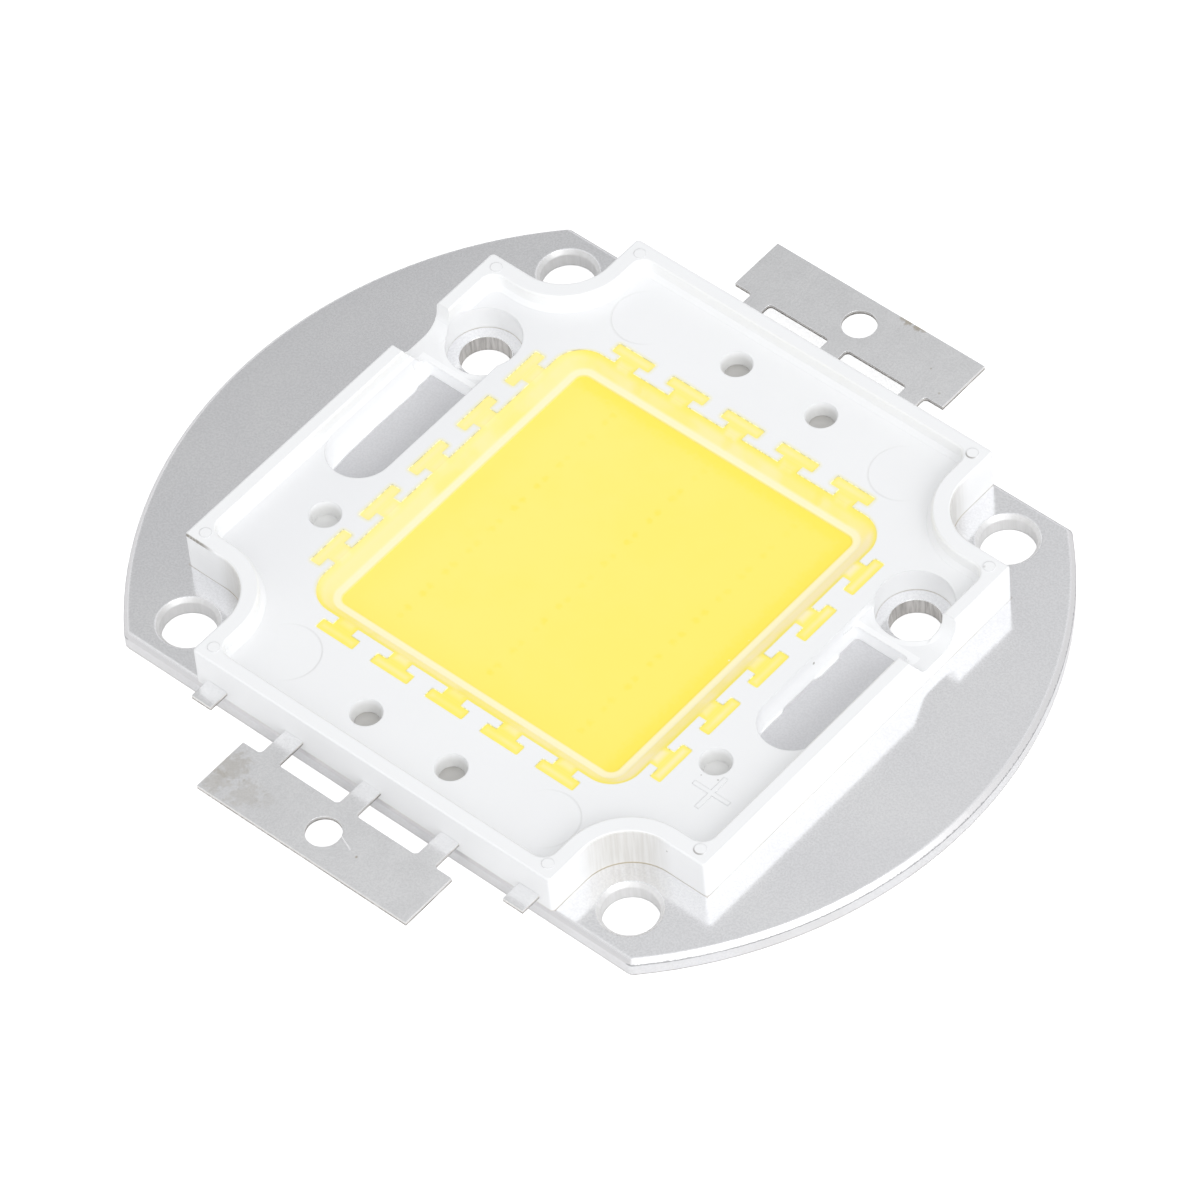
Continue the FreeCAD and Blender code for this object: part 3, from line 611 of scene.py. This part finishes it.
def makeSiliconeMaterial():
    look = siliconeLook
    material, tree, shader, place = startMaterial("phosphorSilicone")
    px, py = splitPlace(tree, place)[:2]
    grain = placeGroup(tree, grainGroup, {"Place": place, "Grain Size": look["grainSize"],
                                          "Patch Size": look["patchSize"]})
    halfX, halfY, corner = look["lightHalf"]
    fromLight = boxDistance(tree, place, halfX, halfY, corner)
    outline = placeGroup(tree, siliconeOutlineGroup, {"Place": place})["Distance"]
    wobble = calc(tree, "MULTIPLY", calc(tree, "SUBTRACT", grain["Height"], 0.5), 0.5)
    light = mixColour(tree, smooth(tree, px, -11.0, 12.0, 0.0, 0.7), look["light"], look["deep"])
    # the deeper yellow towards the light area's edge is painted shade
    light = mixColour(tree, smooth(tree, fromLight, -2.5, -0.1, 0.0, 0.4), light, look["deep"])
    light = mixColour(tree, smooth(tree, grain["Patch"], 0.4, 0.7, 0.0, 0.35), light, look["deep"])
    farSide = calc(tree, "MAXIMUM", calc(tree, "SUBTRACT", px, halfX), calc(tree, "SUBTRACT", py, halfY))
    farSide = calc(tree, "ADD", farSide, calc(tree, "MULTIPLY", wobble, 2.0))
    light = mixColour(tree, smooth(tree, farSide, -1.3, -0.3, 0.0, 0.7), light, look["shadowed"])
    # rows of dots over the dies' bond pads
    column = calc(tree, "ROUND", calc(tree, "DIVIDE", px, look["stringPitch"]))
    column = calc(tree, "SUBTRACT", px, calc(tree, "MULTIPLY", column, look["stringPitch"]))
    along = calc(tree, "SUBTRACT", calc(tree, "FLOORED_MODULO", py, look["diePitch"]), look["diePitch"] / 2)
    pair = calc(tree, "SUBTRACT", calc(tree, "ABSOLUTE", along), look["padOffset"])
    dots = smooth(tree, calc(tree, "ADD", planDistance(tree, column, pair), wobble), 0.34, 0.05)
    dots = calc(tree, "MULTIPLY", dots, smooth(tree, calc(tree, "ABSOLUTE", py), 9.95, 9.75))
    dots = calc(tree, "MULTIPLY", dots, smooth(tree, grain["Patch"], 0.4, 0.6, 0.15, 0.5))
    light = mixColour(tree, dots, light, look["dot"])
    # pale lip, band and keys; the deeper yellow along their edges is painted shade
    beyond = calc(tree, "DIVIDE", fromLight, look["lipWidth"])
    band = mixColour(tree, smooth(tree, px, 10.8, 11.4), look["band"], look["bandRight"])
    band = mixColour(tree, smooth(tree, outline, -0.5, -0.05, 0.0, 0.85), band, look["edge"])
    band = mixColour(tree, smooth(tree, grain["Patch"], 0.45, 0.65, 0.0, 0.5), band, look["edge"])
    lip = mixColour(tree, smooth(tree, apart(tree, beyond, 0.5), 0.95, 0.4), band, look["lip"])
    base = mixColour(tree, smooth(tree, beyond, -0.2, 0.35), light, lip)
    # darker blobs where the strings' last wires go down to the leads
    endBlob = planDistance(tree, column, calc(tree, "SUBTRACT", calc(tree, "ABSOLUTE", py), 11.9))
    endBlob = smooth(tree, calc(tree, "ADD", endBlob, wobble), 0.5, 0.1)
    base = layer(tree, base, endBlob, 0.3, look["dot"])
    # thin pale film on the -X and +Y sides
    filmed = calc(tree, "MULTIPLY", calc(tree, "MAXIMUM", smooth(tree, px, -10.9, -12.4),
                                         smooth(tree, py, 11.9, 13.4, 0.0, 0.5)), smooth(tree, outline, -0.9, 0.0))
    base = layer(tree, base, filmed, 0.35, look["hazed"])
    base = mixColour(tree, smooth(tree, outline, -0.05, 0.07), base, look["rim"])
    base = addSpecks(tree, place, base, look["sparks"], look["spark"])
    # the fill is cloudy, so its slope is shaded much like its level parts
    upward = addNode(tree, "ShaderNodeMix", {0: 0.85, 4: softEdges(tree, 0.15), 5: (0.0, 0.0, 1.0)},
                     data_type="VECTOR")
    level = addNode(tree, "ShaderNodeVectorMath", {0: upward.outputs[1]}, operation="NORMALIZE").outputs[0]
    height = calc(tree, "ADD", grain["Height"], calc(tree, "MULTIPLY", grain["Patch"], 2.0))
    plug(tree, shader.inputs["Base Color"], base)
    plug(tree, shader.inputs["Roughness"], calc(tree, "ADD", look["roughness"],
                                                calc(tree, "MULTIPLY", grain["Patch"], 0.1)))
    plug(tree, shader.inputs["Normal"], bump(tree, height, 0.04, 0.04, level))
    glowing = calc(tree, "ADD", look["glow"], calc(tree, "MULTIPLY", steepnessOf(tree), look["steepGlow"]))
    plug(tree, shader.inputs["Emission Color"],
         addNode(tree, "ShaderNodeVectorMath", {0: base, 3: glowing}, operation="SCALE").outputs[0])
    shader.inputs["Emission Strength"].default_value = 1.0
    shader.inputs["IOR"].default_value = look["refraction"]
    return material


# silver-plated leads and tie bars

leadLook = {
    "metal": colour(0.985, 0.985, 0.99),
    "dull": colour(0.93, 0.93, 0.935),
    "tarnish": colour(0.60, 0.54, 0.44),
    "burr": colour(0.16, 0.13, 0.10),
    "pinFootShade": colour(0.64, 0.63, 0.61),   # painted shade on the lead metal at the foot of the frame's blind holes
    "cutEdge": colour(0.90, 0.87, 0.84),
    "roughness": 0.14,
    "grainSize": 0.12,
    "patchSize": 2.0,
    "grainBump": 0.06,
    "top": 2.0,
    "bottom": 1.7,
    "stains": [(-7.3, -23.9, 2.0, 1.3, 0.35), (-7.4, -25.3, 2.0, 1.0, 0.3), (-5.4, -25.0, 2.0, 1.3, 0.25),
               (3.27, 16.7, 2.0, 0.5, 0.35), (-3.27, 16.7, 2.0, 0.5, 0.35), (3.27, -16.7, 2.0, 0.5, 0.3),
               (-3.27, -16.7, 2.0, 0.5, 0.35), (-4.0, -24.5, 2.0, 0.7, 0.12),
               (2.71, -24.41, 2.0, 0.12, 0.7), (1.8, 26.18, 2.0, 0.3, 0.6), (2.3, 26.15, 2.0, 0.35, 0.8),
               (2.9, 26.15, 2.0, 0.35, 0.8), (3.4, 26.15, 2.0, 0.25, 0.5), (5.6, 24.1, 2.0, 0.08, 0.6),
               (7.2, 22.9, 2.0, 0.1, 0.5)],
    "scratch": (0.65, -23.66, 2.21, -24.29),   # from x, y to x, y
}


def makeLeadMaterial():
    look = leadLook
    material, tree, shader, place = startMaterial("leadPlating")
    px, py, pz = splitPlace(tree, place)
    grain = placeGroup(tree, grainGroup, {"Place": place, "Grain Size": look["grainSize"],
                                          "Patch Size": look["patchSize"]})
    streaks = addNode(tree, "ShaderNodeVectorMath", {0: place, 1: (6.0, 0.4, 1.0)}, operation="MULTIPLY").outputs[0]
    rolled = addNode(tree, "ShaderNodeTexNoise", {"Vector": streaks, "Scale": 1.0, "Detail": 3.0}).outputs["Fac"]
    base = mixColour(tree, smooth(tree, grain["Patch"], 0.35, 0.7), look["metal"], look["dull"])
    base = mixColour(tree, smooth(tree, rolled, 0.4, 0.7, 0.0, 0.4), base, look["dull"])
    glint = smooth(tree, grain["Height"], 0.35, 0.65, 0.97, 1.03)
    base = addNode(tree, "ShaderNodeVectorMath", {0: base, 3: glint}, operation="SCALE").outputs[0]
    base = addStains(tree, place, base, look["stains"], look["tarnish"])
    # painted shade on the metal at the foot of the blind holes
    inPin = smooth(tree, pinDistance(tree, px, py), pinHoles["radius"], pinHoles["radius"] - 0.05)
    base = mixColour(tree, inPin, base, look["pinFootShade"])
    x0, y0, x1, y1 = look["scratch"]
    length = ((x1 - x0) ** 2 + (y1 - y0) ** 2) ** 0.5
    dx = calc(tree, "SUBTRACT", px, x0)
    dy = calc(tree, "SUBTRACT", py, y0)
    ux, uy = (x1 - x0) / length, (y1 - y0) / length
    forward = calc(tree, "ADD", calc(tree, "MULTIPLY", dx, ux), calc(tree, "MULTIPLY", dy, uy))
    aside = calc(tree, "SUBTRACT", calc(tree, "MULTIPLY", dx, uy), calc(tree, "MULTIPLY", dy, ux))
    scratch = smooth(tree, calc(tree, "ABSOLUTE", aside), 0.06, 0.02)
    scratch = calc(tree, "MULTIPLY", scratch, smooth(tree, apart(tree, forward, length / 2), length / 2,
                                                     length / 2 - 0.2))
    base = layer(tree, base, scratch, 0.7, white)
    # sheared edges: bright above, dark at the burr below
    cut = calc(tree, "MULTIPLY", smooth(tree, pz, look["top"] - 0.02, look["top"] - 0.06),
               smooth(tree, pz, look["bottom"] + 0.01, look["bottom"] + 0.02))
    base = layer(tree, base, cut, 0.8, look["cutEdge"])
    burr = calc(tree, "MULTIPLY", cut, smooth(tree, pz, look["bottom"] + 0.14, look["bottom"] + 0.08))
    base = layer(tree, base, burr, smooth(tree, rolled, 0.35, 0.6, 0.4, 0.95), look["burr"])
    rough = calc(tree, "ADD", look["roughness"], calc(tree, "MULTIPLY", grain["Patch"], 0.08))
    for mask, extra in ((cut, 0.2), (inPin, 0.3)):
        rough = calc(tree, "ADD", rough, calc(tree, "MULTIPLY", mask, extra))
    plug(tree, shader.inputs["Base Color"], base)
    plug(tree, shader.inputs["Roughness"], rough)
    plug(tree, shader.inputs["Normal"], bump(tree, grain["Height"], look["grainBump"], 0.02, softEdges(tree, 0.05)))
    plug(tree, shader.inputs["Metallic"], calc(tree, "SUBTRACT", 1.0, calc(tree, "MULTIPLY", scratch, 0.5)))
    return material


# dies and bond wires, under the silicone

dieLook = {
    "dark": colour(0.22, 0.3, 0.42),
    "light": colour(0.4, 0.47, 0.55),
    "grainSize": 0.1,
    "patchSize": 0.8,
    "roughness": (0.15, 0.3),
}
goldLook = {
    "dark": colour(0.85, 0.63, 0.25),
    "light": colour(0.93, 0.72, 0.33),
    "grainSize": 0.05,
    "patchSize": 0.5,
    "roughness": (0.2, 0.35),
}


def makeSmallPartMaterial(name, look, metallic):
    material, tree, shader, place = startMaterial(name)
    grain = placeGroup(tree, grainGroup, {"Place": place, "Grain Size": look["grainSize"],
                                          "Patch Size": look["patchSize"]})
    plug(tree, shader.inputs["Base Color"], mixColour(tree, grain["Patch"], look["dark"], look["light"]))
    smoothest, roughest = look["roughness"]
    plug(tree, shader.inputs["Roughness"], smooth(tree, grain["Height"], 0.3, 0.7, smoothest, roughest))
    shader.inputs["Metallic"].default_value = metallic
    return material


plateMaterial = makePlateMaterial()
frameMaterial = makeFrameMaterial()
siliconeMaterial = makeSiliconeMaterial()
leadMaterial = makeLeadMaterial()
nodeMaterials = {
    "base_plate": plateMaterial, "frame": frameMaterial, "silicone": siliconeMaterial,
    "lead_positive": leadMaterial, "lead_negative": leadMaterial, "tie_bars": leadMaterial,
    "dies": makeSmallPartMaterial("dieBlue", dieLook, 0.0),
    "bond_wires": makeSmallPartMaterial("bondGold", goldLook, 1.0),
}
for nodeName, material in nodeMaterials.items():
    node = cadNodes[nodeName]
    if not node.material_slots:
        node.data.materials.append(material)
    for slot in node.material_slots:
        slot.material = material
print("materials done")


# small forms that only the looks need

def newPiece(name, vertices, edges, faces):
    mesh = bpy.data.meshes.new(name)
    mesh.from_pydata([Vector(v) * mm for v in vertices], edges, faces)
    piece = bpy.data.objects.new(name, mesh)
    bpy.context.scene.collection.objects.link(piece)
    return piece


def startTree(name, inputs):
    tree = bpy.data.node_groups.new(name, "GeometryNodeTree")
    tree.interface.new_socket("Geometry", in_out="INPUT", socket_type="NodeSocketGeometry")
    for label, kind, value in inputs:
        socket = tree.interface.new_socket(label, in_out="INPUT", socket_type=kind)
        socket.default_value = value
    tree.interface.new_socket("Geometry", in_out="OUTPUT", socket_type="NodeSocketGeometry")
    return tree, tree.nodes.new("NodeGroupInput"), tree.nodes.new("NodeGroupOutput")


def settle(piece, tree, values):  # runs the tree on the piece and keeps the result as a plain mesh
    modifier = piece.modifiers.new("build", "NODES")
    modifier.node_group = tree
    for item in tree.interface.items_tree:
        if item.name in values and item.in_out == "INPUT":
            modifier[item.identifier] = values[item.name]
    bpy.context.view_layer.update()
    evaluated = piece.evaluated_get(bpy.context.evaluated_depsgraph_get())
    mesh = bpy.data.meshes.new_from_object(evaluated)
    piece.modifiers.clear()
    piece.data = mesh
    return piece


# ejector marks: two small discs on each corner of the rim's top

rimMarks = {
    "places": [(12.83, 19.15), (19.0, 13.05)],
    "top": 4.1,
    "radius": 0.38,
    "height": 0.035,
}


def makeRimMarks():
    look = rimMarks
    points = []
    for x, y in look["places"]:
        points += [(x, y, look["top"]), (-x, y, look["top"]), (-x, -y, look["top"]), (x, -y, look["top"])]
    piece = newPiece("rimMarks", points, [], [])
    tree, inn, out = startTree("discs", [("Radius", "NodeSocketFloat", 0.0004), ("Height", "NodeSocketFloat", 0.00003)])
    disc = addNode(tree, "GeometryNodeMeshCylinder", {"Vertices": 32, "Radius": inn.outputs["Radius"],
                                                      "Depth": inn.outputs["Height"]})
    lift = addNode(tree, "ShaderNodeCombineXYZ", {0: 0.0, 1: 0.0, 2: calc(tree, "DIVIDE", inn.outputs["Height"], 2.0)})
    raised = addNode(tree, "GeometryNodeTransform", {"Geometry": disc.outputs[0], "Translation": lift.outputs[0]})
    spread = addNode(tree, "GeometryNodeInstanceOnPoints", {"Points": inn.outputs["Geometry"],
                                                            "Instance": raised.outputs[0]})
    real = addNode(tree, "GeometryNodeRealizeInstances", {0: spread.outputs[0]})
    finish = addNode(tree, "GeometryNodeSetMaterial", {"Geometry": real.outputs[0], "Material": frameMaterial})
    plug(tree, out.inputs[0], finish.outputs[0])
    return settle(piece, tree, {"Radius": look["radius"] * mm, "Height": look["height"] * mm})


# raised plus sign on the frame's floor, beside the positive lead

plusSign = {"x": 16.3, "y": -8.95, "reach": 1.35, "halfWidth": 0.17, "floor": 2.95, "height": 0.03, "edge": 0.029}


def makePlusSign():
    look = plusSign
    a, b = look["halfWidth"], look["reach"]
    outline = [(a, a), (b, a), (b, -a), (a, -a), (a, -b), (-a, -b),
               (-a, -a), (-b, -a), (-b, a), (-a, a), (-a, b), (a, b)]
    piece = newPiece("plusSign", [(look["x"] + x, look["y"] + y, look["floor"]) for x, y in reversed(outline)], [],
                     [list(range(len(outline)))])
    shape = bmesh.new()
    shape.from_mesh(piece.data)
    raised = bmesh.ops.extrude_face_region(shape, geom=list(shape.faces))
    top = [v for v in raised["geom"] if isinstance(v, bmesh.types.BMVert)]
    bmesh.ops.translate(shape, verts=top, vec=(0, 0, look["height"] * mm))
    edges = [e for e in shape.edges if all(v in top for v in e.verts)]
    bmesh.ops.bevel(shape, geom=edges, offset=look["edge"] * mm, segments=2, affect="EDGES")
    bmesh.ops.recalc_face_normals(shape, faces=shape.faces)
    shape.to_mesh(piece.data)
    shape.free()
    piece.data.materials.append(frameMaterial)
    return piece


# moulding flash: a thin wavy bead of plastic on the plate along each window's foot

mouldFlash = {
    "right": [(14.52, 5.9), (14.52, 4.4), (14.74, 4.1), (14.74, 2.5), (14.56, 2.0), (14.52, -0.7), (14.72, -1.0),
              (14.72, -2.9), (15.02, -4.7)],
    "left": [(-18.50, 5.9), (-18.50, 4.9), (-18.36, 4.4), (-18.38, 1.0), (-18.34, -2.0), (-18.05, -4.6)],
    "plate": 1.2,
    "width": 0.34,
    "height": 0.04,
    "wander": 0.05,
    "seed": 3.0,
}


def makeMouldFlash():
    look = mouldFlash
    points = []
    edges = []
    for line in (look["right"], look["left"]):
        first = len(points)
        points += [(x, y, look["plate"]) for x, y in line]
        edges += [(first + i, first + i + 1) for i in range(len(line) - 1)]
    piece = newPiece("mouldFlash", points, edges, [])
    tree, inn, out = startTree("wavyBead", [("Width", "NodeSocketFloat", 0.00013),
                                            ("Height", "NodeSocketFloat", 0.00006),
                                            ("Wander", "NodeSocketFloat", 0.00005),
                                            ("Seed", "NodeSocketFloat", 3.0)])
    path = addNode(tree, "GeometryNodeMeshToCurve", {0: inn.outputs["Geometry"]})
    fine = addNode(tree, "GeometryNodeResampleCurve", {"Curve": path.outputs[0], "Count": 60})
    where = addNode(tree, "GeometryNodeInputPosition")
    noise = addNode(tree, "ShaderNodeTexNoise", {"Vector": where.outputs[0], "W": inn.outputs["Seed"], "Scale": 900.0,
                                                 "Detail": 2.0}, noise_dimensions="4D")
    centred = addNode(tree, "ShaderNodeVectorMath", {0: noise.outputs["Color"], 1: (0.5, 0.5, 0.5)},
                      operation="SUBTRACT")
    level = addNode(tree, "ShaderNodeVectorMath", {0: centred.outputs[0], 1: (2.0, 2.0, 0.0)}, operation="MULTIPLY")
    shift = addNode(tree, "ShaderNodeVectorMath", {0: level.outputs[0], 3: inn.outputs["Wander"]}, operation="SCALE")
    moved = addNode(tree, "GeometryNodeSetPosition", {"Geometry": fine.outputs[0], "Offset": shift.outputs[0]})
    section = addNode(tree, "GeometryNodeCurvePrimitiveCircle",
                      {"Resolution": 8, "Radius": calc(tree, "DIVIDE", inn.outputs["Width"], 2.0)})
    bead = addNode(tree, "GeometryNodeCurveToMesh", {0: moved.outputs[0], 1: section.outputs[0], "Fill Caps": True})
    beadPlace = addNode(tree, "GeometryNodeInputPosition")
    parts = addNode(tree, "ShaderNodeSeparateXYZ", {0: beadPlace.outputs[0]})
    above = calc(tree, "SUBTRACT", parts.outputs[2], look["plate"] * mm)
    flatness = calc(tree, "DIVIDE", inn.outputs["Height"], calc(tree, "DIVIDE", inn.outputs["Width"], 2.0))
    height = calc(tree, "ADD", calc(tree, "MULTIPLY", above, flatness), look["plate"] * mm)
    flatPlace = addNode(tree, "ShaderNodeCombineXYZ", {0: parts.outputs[0], 1: parts.outputs[1], 2: height})
    flat = addNode(tree, "GeometryNodeSetPosition", {"Geometry": bead.outputs[0], "Position": flatPlace.outputs[0]})
    real = addNode(tree, "GeometryNodeRealizeInstances", {0: flat.outputs[0]})
    finish = addNode(tree, "GeometryNodeSetMaterial", {"Geometry": real.outputs[0], "Material": frameMaterial})
    plug(tree, out.inputs[0], finish.outputs[0])
    return settle(piece, tree, {"Width": look["width"] * mm, "Height": look["height"] * mm,
                                "Wander": look["wander"] * mm, "Seed": look["seed"]})


for piece in (makeRimMarks(), makePlusSign(), makeMouldFlash()):
    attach(piece, "root")
print("small forms done")


# floor, light and camera

studio = {
    "floorColour": colour(0.9, 0.9, 0.9),
    "floorLift": 0.55,       # added for camera rays only, so that the floor reads white
    "sky": 0.82,
    "skyColour": colour(0.985, 0.99, 1.0),
    "windowSide": (0.90, -0.42, 0.12),     # the sky is brighter low on this side
    "windowEdge": 0.35,
    "windowGain": 0.8,
    "greyCard": (-0.445, 0.448, 0.775),    # middle of the grey patch of sky that the level metal mirrors
    "greyLevel": 0.615,
    "greySlope": (1.38, -0.353, 0.997),    # how the patch grows lighter from left to right and from back to front
    "greyInner": 0.966,
    "greyOuter": 0.90,
    "keyPlace": (0.55, -0.10, 0.45),
    "keySize": 0.35,
    "keyPower": 0.65,
    "floorHalf": 1500.0,     # mm
    "floorDrop": 0.02,       # mm below the plate's underside
}


def makeFloor():
    half, level = studio["floorHalf"], -studio["floorDrop"]
    corners = [(-half, -half), (half, -half), (half, half), (-half, half)]
    floor = newPiece("floor", [(x, y, level) for x, y in corners], [], [(0, 1, 2, 3)])
    material = bpy.data.materials.new("paleFloor")
    material.use_nodes = True
    tree = material.node_tree
    tree.nodes.clear()
    matt = addNode(tree, "ShaderNodeBsdfDiffuse", {"Color": studio["floorColour"]})
    path = addNode(tree, "ShaderNodeLightPath")
    strength = calc(tree, "MULTIPLY", path.outputs["Is Camera Ray"], studio["floorLift"])
    lift = addNode(tree, "ShaderNodeEmission", {"Color": white, "Strength": strength})
    both = addNode(tree, "ShaderNodeAddShader", {0: matt.outputs[0], 1: lift.outputs[0]})
    output = tree.nodes.new("ShaderNodeOutputMaterial")
    tree.links.new(both.outputs[0], output.inputs[0])
    floor.data.materials.append(material)


def makeSky():
    world = bpy.data.worlds.new("softStudio")
    bpy.context.scene.world = world
    world.use_nodes = True
    tree = world.node_tree
    tree.nodes.clear()
    coords = addNode(tree, "ShaderNodeTexCoord")
    facing = addNode(tree, "ShaderNodeVectorMath", {0: coords.outputs["Generated"], 1: studio["greyCard"]},
                     operation="DOT_PRODUCT").outputs["Value"]
    slope = addNode(tree, "ShaderNodeVectorMath", {0: coords.outputs["Generated"], 1: studio["greySlope"]},
                    operation="DOT_PRODUCT").outputs["Value"]
    card = smooth(tree, facing, studio["greyOuter"], studio["greyInner"])
    darker = calc(tree, "SUBTRACT", calc(tree, "ADD", slope, studio["greyLevel"]), studio["sky"])
    strength = calc(tree, "ADD", studio["sky"], calc(tree, "MULTIPLY", card, darker))
    sideways = addNode(tree, "ShaderNodeVectorMath", {0: coords.outputs["Generated"], 1: studio["windowSide"]},
                       operation="DOT_PRODUCT").outputs["Value"]
    strength = calc(tree, "ADD", strength, smooth(tree, sideways, studio["windowEdge"], 1.0, 0.0, studio["windowGain"]))
    back = addNode(tree, "ShaderNodeBackground", {"Color": studio["skyColour"], "Strength": strength})
    output = tree.nodes.new("ShaderNodeOutputWorld")
    tree.links.new(back.outputs[0], output.inputs[0])


def makeKeyLight():
    lamp = bpy.data.lights.new("keyPanel", "AREA")
    lamp.shape = "SQUARE"
    lamp.size = studio["keySize"]
    lamp.energy = studio["keyPower"]
    panel = bpy.data.objects.new("keyPanel", lamp)
    panel.location = studio["keyPlace"]
    panel.rotation_euler = (-Vector(studio["keyPlace"])).to_track_quat("-Z", "Y").to_euler()
    bpy.context.scene.collection.objects.link(panel)


viewpoint = {  # fitted to the photograph
    "place": (216.768, -218.430, 377.091),     # mm
    "right": (0.75895347, 0.64831192, -0.06067365),
    "up": (-0.47539058, 0.6153644, 0.6287531),
    "back": (0.44496453, -0.44835067, 0.77523432),
    "lens": 248.35,
    "sensor": 36.0,
    "clip": (0.01, 20.0),                      # m
}


def makeCamera():
    lens = bpy.data.cameras.new("photoCamera")
    lens.sensor_width = viewpoint["sensor"]
    lens.lens = viewpoint["lens"]
    lens.clip_start, lens.clip_end = viewpoint["clip"]
    camera = bpy.data.objects.new("photoCamera", lens)
    turned = Matrix((viewpoint["right"], viewpoint["up"], viewpoint["back"])).transposed().to_4x4()
    camera.matrix_world = Matrix.Translation(Vector(viewpoint["place"]) * mm) @ turned
    bpy.context.scene.collection.objects.link(camera)
    bpy.context.scene.camera = camera


makeFloor()
makeSky()
makeKeyLight()
makeCamera()
bpy.context.scene.view_settings.view_transform = "Standard"
print("studio done")
